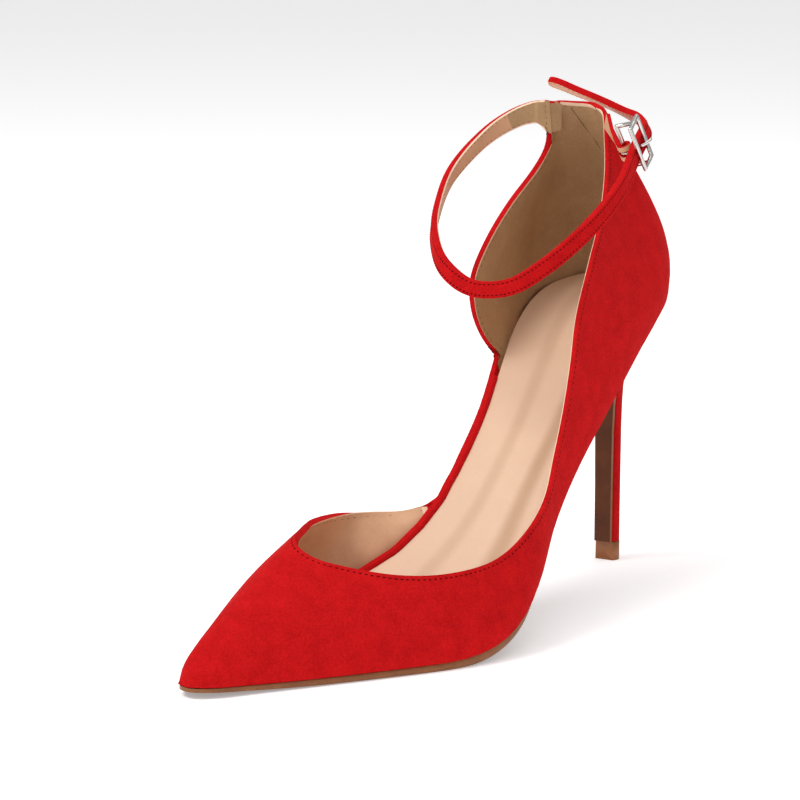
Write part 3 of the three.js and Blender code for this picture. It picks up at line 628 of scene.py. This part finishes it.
@dataclass
class Seam:
    """A row of stitches at a distance from an edge of a piece.

    Attributes:
        inset_mm: distance from the edge to the row.
        pitch_mm: distance from stitch to stitch.
        length_mm: length of a stitch.
        width_mm: thickness of the thread.
    """

    inset_mm: float = 1.2
    pitch_mm: float = 1.7
    length_mm: float = 1.1
    width_mm: float = 0.48

    def sew(
        self,
        into: bmesh.types.BMesh,
        tree: BVHTree,
        edge: Edging,
        wanted: Callable[[Vector], bool] = lambda place: True,
    ) -> None:
        """Adds the stitches.

        Args:
            into: mesh the stitches go in.
            tree: the surface they lie on.
            edge: the edge that they follow.
            wanted: whether a place on the edge gets a stitch.
        """
        for place, along, inward in edge.walk(self.pitch_mm * MM):
            spot, normal, _, _ = tree.find_nearest(place + inward * self.inset_mm * MM)
            off = (spot - place).length / (self.inset_mm * MM)
            if not wanted(place) or not NEAREST_ROW < off < FURTHEST_ROW:
                continue
            across = normal.cross(along).normalized()
            turn = Matrix((across.cross(normal), across, normal)).transposed()
            half = self.width_mm / 2
            spot -= normal * SUNK_SHARE * self.width_mm * MM
            add_thread(into, spot, turn, (self.length_mm / 2 * MM, half * MM, half * MM))


def ridge(into: bmesh.types.BMesh, tree: BVHTree, start: Vector, end: Vector) -> None:
    """Adds the thin raised line of a closed seam on a surface.

    Args:
        into: mesh the line goes in.
        tree: the surface it lies on.
        start: the seam's one end.
        end: its other end.
    """
    count = round((end - start).length / (RIDGE_STEP_MM * MM))
    spots = [tree.find_nearest(start.lerp(end, i / count)) for i in range(count + 1)]
    for (here, normal, _, _), (there, _, _, _) in zip(spots, spots[1:]):
        along = (there - here).normalized()
        across = normal.cross(along).normalized()
        turn = Matrix((along, across, across.cross(along) * -1)).transposed()
        wide, high = RIDGE_HALF_MM
        half = ((there - here).length * RIDGE_LAP, wide * MM, high * MM)
        add_thread(into, (here + there) / 2, turn, half)


def bevel_edges(
    mesh: bmesh.types.BMesh,
    edges: Iterable[bmesh.types.BMEdge],
    offset_mm: float,
    segments: int,
    skin: int,
) -> None:
    """Bevels edges into a strip of one material.

    Args:
        mesh: the mesh.
        edges: its edges.
        offset_mm: how far the strip reaches from the edge.
        segments: faces across the strip.
        skin: the strip's material number.
    """
    bmesh.ops.bevel(
        mesh,
        geom=in_order(e for e in edges if e.is_valid),
        offset=offset_mm * MM,
        segments=segments,
        profile=0.5,
        affect="EDGES",
        material=skin,
        clamp_overlap=True,
    )


class Cover(IntEnum):
    """Material numbers of the upper and the strap, in the order of COVERS."""

    SUEDE = 0
    TAN_LINING = 1
    PALE_LINING = 2
    CREAM = 3


COVERS = (Skin.RED_SUEDE, Skin.QUARTER_LINING, Skin.VAMP_LINING, Skin.CREAM_EDGE)


@dataclass
class Upper:
    """The suede upper, its lining and its edges.

    Attributes:
        wall_mm: thickness of suede and lining together.
        fold_mm: radius of the suede's folded edge.
        turned_in_mm: how far the suede is turned in over the top line.
        cream_mm: how much of the lining's painted edge shows.
        lining_shade_to_mm: distance ahead of the heel at which the darker tan lining, partly painted shade of
            the heel cup, gives way to the paler lining.
        waist_mm: distances ahead of the heel between which the inner side is only a low red edge.
        low_wall_mm: height of that edge above the sock.
        strap_root_mm: middle of the strap's root at the neck, outward, backward and up.
        strap_root_reach_mm: how far round it the neck's edge is covered by the strap.
        neck_seam_mm: ends of the raised seam inside the neck.
        shortest_edge_mm: the shortest edge that gets a cream line.
        lining_borders: material numbers on the two sides of the suede's edge on the lining.
        seam: stitches below the top line.
        lining_seam: stitches that hold the lining.
    """

    wall_mm: float = 1.8
    fold_mm: float = 0.5
    turned_in_mm: float = 0.5
    cream_mm: float = 0.32
    lining_shade_to_mm: float = 98.0
    waist_mm: tuple[float, float] = (43.0, 99.0)
    low_wall_mm: float = 4.2
    strap_root_mm: tuple[float, float, float] = (-15.6, -15.2, 143.6)
    strap_root_reach_mm: float = 6.0
    neck_seam_mm: tuple[tuple[float, float, float], ...] = ((-10.6, -9.5, 147.5), (-4.7, 0.9, 133.2))
    shortest_edge_mm: float = 0.4
    lining_borders: tuple[list[int], ...] = (
        [Cover.SUEDE, Cover.TAN_LINING],
        [Cover.SUEDE, Cover.PALE_LINING],
    )
    seam: Seam = field(default_factory=Seam)
    lining_seam: Seam = field(default_factory=lambda: Seam(1.5, 2.4, 1.5, 0.26))

    def build(self) -> None:
        """Makes the upper and its stitches."""
        mesh = merged_copy("upper")
        mesh.edges.layers.float.new(CREASE_LAYER)
        part_wall(mesh, self.wall_mm, lambda faces: max(f.calc_center_median().x for f in faces))
        top = self.top_line(mesh, Side.OUTER)
        lining_top = self.top_line(mesh, Side.INNER)
        thread = bmesh.new()
        self.seam.sew(thread, sheet_tree(mesh, Side.OUTER), top, self.above_waist)
        finish_piece(thread, "upper_stitches", [Skin.RED_THREAD])
        thread = bmesh.new()
        self.lining_seam.sew(thread, sheet_tree(mesh, Side.INNER), lining_top, self.above_waist)
        ridge(thread, sheet_tree(mesh, Side.INNER), *(Vector(p) * MM for p in self.neck_seam_mm))
        finish_piece(thread, "lining_stitches", [Skin.TAN_THREAD])
        self.dress(mesh, top, lining_top)
        finish_piece(mesh, "upper_suede", COVERS, ["upper"], rounds=1)

    @staticmethod
    def top_line(mesh: bmesh.types.BMesh, side: Side) -> Edging:
        """The line along which one side ends at the top."""
        lines = edgings(on_side(mesh, side))
        return max(lines[:2], key=lambda l: sum(p.z for p in l.points) / len(l.points))

    def at_waist(self, place: Vector) -> bool:
        """Whether a place is on the low edge of the inner side's waist."""
        ahead = -place.y / MM
        if not (place.x < 0 and self.waist_mm[0] < ahead < self.waist_mm[1]):
            return False
        sock = FOOTBED_TREE.find_nearest(place)[0]
        return (place - sock).length < self.low_wall_mm * MM

    def above_waist(self, place: Vector) -> bool:
        """Whether a place is anywhere but on that low edge."""
        return not self.at_waist(place)

    def dress(self, mesh: bmesh.types.BMesh, top: Edging, lining_top: Edging) -> None:
        """Rounds the suede's fold, shows the lining's painted edge and gives each face its finish.

        Args:
            mesh: the parted wall.
            top: the suede's top line.
            lining_top: the lining's top line.
        """
        crease = mesh.edges.layers.float[CREASE_LAYER]
        for face in self.low_rim(mesh, top):
            for edge in face.edges:
                edge[crease] = HELD_CREASE
        inner = on_side(mesh, Side.INNER)
        rims = on_side(mesh, Side.RIM)
        root = Vector(self.strap_root_mm) * MM
        painted = [
            e
            for e in lining_top.edges
            if self.above_waist(middle_of(e))
            and min((v.co - root).length for v in e.verts) > self.strap_root_reach_mm * MM
        ]
        for face in inner:
            middle = face.calc_center_median()
            ahead = -middle.y / MM
            # Behind this distance the lining gets the darker tan, partly painted shade of the heel cup
            lined = Cover.PALE_LINING if ahead > self.lining_shade_to_mm else Cover.TAN_LINING
            face.material_index = Cover.SUEDE if self.at_waist(middle) else lined
        for face in rims:
            face.material_index = Cover.SUEDE
        bevel_edges(mesh, [e for e in painted if middle_of(e).x > 0], self.cream_mm, 1, Cover.CREAM)
        bevel_edges(mesh, painted, self.turned_in_mm, 1, Cover.SUEDE)
        below = [
            e
            for e in mesh.edges
            if len(e.link_faces) == 2
            and sorted(f.material_index for f in e.link_faces) in self.lining_borders
            and middle_of(e).x <= 0
            and self.above_waist(middle_of(e))
            and min((v.co - root).length for v in e.verts) > self.strap_root_reach_mm * MM
        ]
        long_enough = [e for e in below if e.calc_length() > self.shortest_edge_mm * MM]
        bevel_edges(mesh, long_enough, self.cream_mm / 2, 1, Cover.CREAM)
        folded = [e for e in top.edges if self.above_waist(middle_of(e))]
        bevel_edges(mesh, folded, self.fold_mm, 2, Cover.SUEDE)

    @staticmethod
    def low_rim(mesh: bmesh.types.BMesh, top: Edging) -> list[bmesh.types.BMFace]:
        """Faces of the rim that lies on the sole."""
        on_top = {v for e in top.edges for v in e.verts}
        low = [f for f in on_side(mesh, Side.RIM) if f.normal.z < 0]
        return [f for f in low if not any(v in on_top for v in f.verts)]


@dataclass
class Footbed:
    """The sock that covers the insole, and its red binding beside the vamp.

    Attributes:
        level: how far a face of the insole points up if it is part of its upper face.
        binding_from_mm: distance ahead of the heel at which the binding starts.
        binding_to_mm: distance ahead of the heel at which it ends.
        binding_width_mm: its width.
        binding_height_mm: its height above the sock.
        on_wall_mm: where its outer edge lies beside the sock's edge, on the waist's low wall.
        beside_vamp_mm: the same beside the vamp.
        leaves_wall_mm: distances ahead of the heel between which it goes from one to the other.
        binding_step_mm: distance from one of its sections to the next.
        measure_step_mm: distance between places at which the sock's width is measured.
    """

    level: float = 0.4
    binding_from_mm: float = 48.0
    binding_to_mm: float = 168.0
    binding_width_mm: float = 2.7
    binding_height_mm: float = 1.2
    on_wall_mm: float = -2.4
    beside_vamp_mm: float = -0.7
    leaves_wall_mm: tuple[float, float] = (90.0, 112.0)
    binding_step_mm: float = 2.5
    measure_step_mm: float = 1.5

    def build(self) -> None:
        """Makes the sock and its binding."""
        mesh = merged_copy("insole")
        rim = edgings([f for f in mesh.faces if f.normal.z > self.level])[0]
        self.bind(rim)
        join_to_quads(mesh)
        self.measure_across(mesh, rim)
        finish_piece(mesh, "sock", [Skin.SOCK_LEATHER], ["insole"], rounds=1)

    def measure_across(self, mesh: bmesh.types.BMesh, rim: Edging) -> None:
        """Notes each point's distance from the sock's middle line, as a share of its half width, which places
        the sock's painted fold shade.

        Args:
            mesh: the sock.
            rim: the edge of its upper face.
        """
        across = mesh.verts.layers.float.new(ACROSS)
        steps = list(rim.walk(self.measure_step_mm * MM))
        inner_side = sorted((p.y, p.x) for p, _, inward in steps if inward.x > 0)
        outer_side = sorted((p.y, p.x) for p, _, inward in steps if inward.x <= 0)

        def reach(side: list[tuple[float, float]], y: float) -> float:
            """Distance to the outer side of the sock's edge at a place along the foot."""
            return min(side, key=lambda p: abs(p[0] - y))[1]

        for vert in mesh.verts:
            low, high = reach(inner_side, vert.co.y), reach(outer_side, vert.co.y)
            vert[across] = (2 * vert.co.x - low - high) / max(high - low, MM)

    def bind(self, rim: Edging) -> None:
        """Makes the binding along the sock's inner edge.

        Args:
            rim: the edge of the sock's upper face.
        """
        places = [
            (p, along, inward)
            for p, along, inward in rim.walk(self.binding_step_mm * MM)
            if self.binding_from_mm < -p.y / MM < self.binding_to_mm and inward.x > 0
        ]
        places.sort(key=lambda p: -p[0].y)
        sections = []
        for place, along, inward in places:
            up = along.cross(inward).normalized()
            up = up if up.z > 0 else -up
            corners = self.section(-place.y / MM)
            sections.append([place + inward * across * MM + up * raised * MM for across, raised in corners])
        mesh = loft(sections)
        finish_piece(mesh, "sock_binding", [Skin.RED_SUEDE], rounds=1)

    def section(self, ahead: float) -> list[tuple[float, float]]:
        """Corners of the binding's section at a distance ahead of the heel.

        Args:
            ahead: the distance in millimetres.

        Returns:
            For each corner, the distance inwards from the sock's edge and the height above it.
        """
        start, end = self.leaves_wall_mm
        share = min(max((ahead - start) / (end - start), 0.0), 1.0)
        outer = self.on_wall_mm + (self.beside_vamp_mm - self.on_wall_mm) * share
        inner = outer + self.binding_width_mm
        high = self.binding_height_mm
        return [
            (outer, -0.3),
            (inner, -0.3),
            (inner, 0.5 * high),
            (inner - 0.6, high),
            (outer + 0.5, high),
            (outer, 0.6 * high),
        ]


@dataclass
class Bottom:
    """The outsole, the covered heel and its top lift.

    Attributes:
        seated_to_mm: distance ahead of the heel up to which the sole keeps its faces, to fit the heel.
        tongue_to_mm: distance ahead of the heel up to which the sole's tongue reaches.
        facing: how far a face points down, or forwards on the tongue, if it gets the darker brown finish.
    """

    seated_to_mm: float = 75.0
    tongue_to_mm: float = 36.0
    facing: float = 0.55

    def build(self) -> None:
        """Makes the three pieces."""
        sole = merged_copy("outsole")
        for face in sole.faces:
            on_tongue = face.calc_center_median().y > -self.tongue_to_mm * MM
            dark_brown_face = face.normal.z < -self.facing or (face.normal.y < -self.facing and on_tongue)
            face.material_index = 0 if dark_brown_face else 1
        join_to_quads(sole)
        keep_sharp_edges(sole, self.seated_to_mm)
        finish_piece(sole, "sole", [Skin.SOLE_LEATHER, Skin.SOLE_EDGE], ["outsole"], rounds=2)
        finish_piece(merged_copy("heel"), "heel_cover", [Skin.RED_SUEDE], ["heel"])
        finish_piece(merged_copy("top_lift"), "heel_tip", [Skin.TIP_RUBBER], ["top_lift"])


def away_from_ankle(faces: Iterable[bmesh.types.BMFace]) -> float:
    """How far faces look away from the ankle's middle, summed over their area."""
    total = 0.0
    for face in faces:
        away = face.calc_center_median() - ANKLE
        away.z = 0
        total += face.normal.dot(away) * face.calc_area()
    return total


@dataclass
class AnkleStrap:
    """The strap with its suede face, lining, edges and stitches.

    Attributes:
        thickness_mm: thickness of the strap.
        fold_mm: radius of the suede's folded edges.
        cream_mm: how much of the lining's painted edge shows.
        root_mm: middle of the root at the neck, outward, backward and up.
        root_heading: direction in which the strap leaves its root.
        root_overlap_mm: how far the root is sewn into the neck.
        root_reach_mm: distance within which a corner may be the root's.
        root_depth_mm: how far off the root's end a corner may be, and still be the root's.
        shaded_lining_mm: length of the neck's lining that runs on into the strap, with its darker tan that is
            partly painted shade.
        seam: the stitches along both edges.
        lining_seam: the same stitches on the lining.
    """

    thickness_mm: float = 2.2
    fold_mm: float = 0.6
    cream_mm: float = 0.34
    root_mm: tuple[float, float, float] = (-16.35, -15.55, 146.8)
    root_heading: tuple[float, float, float] = (-0.79, -0.61, -0.08)
    root_overlap_mm: float = 1.3
    root_reach_mm: float = 12.0
    root_depth_mm: float = 0.35
    shaded_lining_mm: float = 12.7
    seam: Seam = field(default_factory=lambda: Seam(0.95, 1.35, 0.85, 0.46))
    lining_seam: Seam = field(default_factory=lambda: Seam(0.8, 1.8, 1.1, 0.24))

    def build(self) -> None:
        """Makes the strap and its stitches."""
        mesh = merged_copy("ankle_strap")
        part_wall(mesh, self.thickness_mm, away_from_ankle)
        thread = bmesh.new()
        outer_tree = sheet_tree(mesh, Side.OUTER)
        outer_line = edgings(on_side(mesh, Side.OUTER))[0]
        inner_line = edgings(on_side(mesh, Side.INNER))[0]
        self.seam.sew(thread, outer_tree, outer_line)
        finish_piece(thread, "strap_stitches", [Skin.RED_THREAD])
        thread = bmesh.new()
        self.lining_seam.sew(thread, sheet_tree(mesh, Side.INNER), inner_line)
        finish_piece(thread, "strap_lining_stitches", [Skin.TAN_THREAD])
        root = Vector(self.root_mm) * MM
        heading = Vector(self.root_heading)
        for vert in mesh.verts:
            off = vert.co - root
            if off.length < self.root_reach_mm * MM and abs(off.dot(heading)) < self.root_depth_mm * MM:
                vert.co -= heading * self.root_overlap_mm * MM
        for face in mesh.faces:
            # Near the root the strap's lining gets the neck's darker tan, partly painted shade
            near = (face.calc_center_median() - root).length < self.shaded_lining_mm * MM
            lining = Cover.TAN_LINING if near else Cover.PALE_LINING
            face.material_index = lining if face.material_index == Side.INNER else Cover.SUEDE
        starts = [(e, e.verts[0].co) for e in inner_line.edges]
        away = [e for e, place in starts if (place - root).dot(heading) > 0.1 * MM or place.y > 0]
        bevel_edges(mesh, away, self.cream_mm, 1, Cover.CREAM)
        bevel_edges(mesh, outer_line.edges, self.fold_mm, 2, Cover.SUEDE)
        finish_piece(mesh, "strap_suede", COVERS, ["ankle_strap"], rounds=1)


@dataclass(frozen=True)
class JointRow:
    """A section of the join: its middle outward and backward, its foot and top, and its thickness."""

    outward_mm: float
    backward_mm: float
    low_mm: float
    high_mm: float
    thick_mm: float


@dataclass
class NeckJoint:
    """The sewn join where the heel's neck runs on into the strap.

    Attributes:
        rows: its sections, from inside the neck's wall to inside the strap.
        lining_facing: how far a face looks at the ankle's middle if it is lining.
    """

    rows: tuple[JointRow, ...] = (
        JointRow(-12.9, -11.6, 140.4, 149.4, 0.8),
        JointRow(-14.6, -13.5, 139.8, 149.8, 1.7),
        JointRow(-15.9, -15.0, 139.9, 150.0, 2.0),
        JointRow(-17.0, -16.2, 141.6, 150.1, 2.1),
        JointRow(-18.4, -17.4, 142.9, 150.0, 2.1),
        JointRow(-20.4, -18.9, 143.4, 149.4, 1.2),
    )
    lining_facing: float = 0.6

    def build(self) -> None:
        """Makes the join, suede outside and lining inside."""
        sections = []
        for before, row, after in zip(self.rows[:1] + self.rows, self.rows, self.rows[1:] + self.rows[-1:]):
            along = Vector((after.outward_mm - before.outward_mm, after.backward_mm - before.backward_mm, 0))
            inward = Vector((-along.y, along.x, 0)).normalized()
            middle = Vector((row.outward_mm, row.backward_mm, 0))
            inward = inward if inward.dot(ANKLE - middle * MM) > 0 else -inward
            half = row.thick_mm / 2
            low, high = row.low_mm, row.high_mm
            corners = ((-1, low), (1, low), (1, high - 0.5), (0.4, high), (-1, high))
            sections.append([(middle + inward * half * side + Vector((0, 0, z))) * MM for side, z in corners])
        mesh = loft(sections)
        # Faces that look at the ankle get the darker tan lining, partly painted shade of the heel cup
        for face in mesh.faces:
            away = face.calc_center_median() - ANKLE
            away.z = 0
            lined = face.normal.dot(away.normalized()) < -self.lining_facing
            face.material_index = Cover.TAN_LINING if lined else Cover.SUEDE
        finish_piece(mesh, "neck_join", [Skin.RED_SUEDE, Skin.QUARTER_LINING], rounds=1)


@dataclass
class Fastening:
    """The tab and the plated buckle.

    Attributes:
        tab_mm: thickness of the tab.
    """

    tab_mm: float = 1.2

    def build(self) -> None:
        """Makes the tab and dresses the buckle."""
        tab = merged_copy("buckle_tab")
        part_wall(tab, self.tab_mm, away_from_ankle)
        for face in tab.faces:
            face.material_index = 1 if face.material_index == Side.INNER else 0
        finish_piece(tab, "tab", [Skin.RED_SUEDE, Skin.VAMP_LINING], ["buckle_tab"])
        for node, name in (("buckle_frame", "frame_wire"), ("buckle_prong", "prong_wire")):
            finish_piece(merged_copy(node), name, [Skin.PLATED_METAL], [node])


@dataclass(frozen=True)
class Lamp:
    """A soft square light: its name, its place and side in metres, and its power in watts."""

    name: str
    place_m: tuple[float, float, float]
    side_m: float
    power_w: float


@dataclass
class Studio:
    """The floor, the lights and the camera.

    Attributes:
        floor_m: half the floor's side.
        lamps: the lights.
        aim_m: the shoe's middle, which the lights look at.
        surround: strength of the even light from all sides.
        lens_mm: the camera's focal length.
        sensor_mm: width of its picture.
        place_m: its place.
        right: direction to its right.
        up: direction above it.
        back: direction behind it.
    """

    floor_m: float = 6.0
    lamps: tuple[Lamp, ...] = (
        Lamp("key", (-0.45, -0.9, 1.3), 0.7, 12.0),
        Lamp("fill", (1.0, -0.9, 0.9), 1.4, 1.5),
        Lamp("top", (0.1, 0.2, 1.6), 1.4, 8.0),
    )
    aim_m: tuple[float, float, float] = (0.0, -0.1, 0.06)
    surround: float = 0.5
    lens_mm: float = 155.33
    sensor_mm: float = 36.0
    place_m: tuple[float, float, float] = (0.5188, -0.9761, 0.2468)
    right: tuple[float, float, float] = (0.8519, 0.5236, 0.0052)
    up: tuple[float, float, float] = (-0.0953, 0.1454, 0.9848)
    back: tuple[float, float, float] = (0.5149, -0.8395, 0.1737)

    def build(self) -> None:
        """Makes them all, and shows colours as they are."""
        self.floor()
        self.world()
        for lamp in self.lamps:
            self.light(lamp)
        self.camera()
        bpy.context.scene.view_settings.view_transform = "Standard"

    def floor(self) -> None:
        """Makes the floor of white paper, which glows a little."""
        floor_mesh = bmesh.new()
        bmesh.ops.create_grid(floor_mesh, x_segments=1, y_segments=1, size=self.floor_m)
        data = bpy.data.meshes.new("floor")
        floor_mesh.to_mesh(data)
        floor_mesh.free()
        floor = bpy.data.objects.new("floor", data)
        bpy.context.scene.collection.objects.link(floor)
        paper = Finish(
            "white_backdrop_paper", "#FFFFFF", "#FFFFFF", 50, 5, 0.0, roughness=0.9, specular=0.1, glow=0.3,
        )
        data.materials.append(paper.build())

    def world(self) -> None:
        """Sets an even pale surrounding light."""
        world = bpy.data.worlds.new("studio")
        bpy.context.scene.world = world
        world.use_nodes = True
        back = world.node_tree.nodes["Background"]
        back.inputs["Color"].default_value = (1, 1, 1, 1)
        back.inputs["Strength"].default_value = self.surround

    def light(self, lamp: Lamp) -> None:
        """Adds a light that looks at the shoe's middle."""
        data = bpy.data.lights.new(lamp.name, "AREA")
        data.size = lamp.side_m
        data.energy = lamp.power_w
        made = bpy.data.objects.new(lamp.name, data)
        made.location = lamp.place_m
        aim = Vector(self.aim_m) - Vector(lamp.place_m)
        made.rotation_euler = aim.to_track_quat("-Z", "Y").to_euler()
        bpy.context.scene.collection.objects.link(made)

    def camera(self) -> None:
        """Adds the camera at the photograph's angle."""
        data = bpy.data.cameras.new("camera")
        data.lens = self.lens_mm
        data.sensor_width = self.sensor_mm
        eye = bpy.data.objects.new("camera", data)
        turn = Matrix((Vector(self.right), Vector(self.up), Vector(self.back))).transposed()
        eye.matrix_world = Matrix.Translation(self.place_m) @ turn.to_4x4()
        bpy.context.scene.collection.objects.link(eye)
        bpy.context.scene.camera = eye


def main() -> None:
    """Builds the shoe and its studio."""
    logging.basicConfig(level=logging.INFO, format="%(name)s: %(message)s")
    for part in (Upper(), Footbed(), Bottom(), AnkleStrap(), NeckJoint(), Fastening(), Studio()):
        part.build()
        log.info("%s is built", type(part).__name__)


if __name__ == "__main__":
    main()
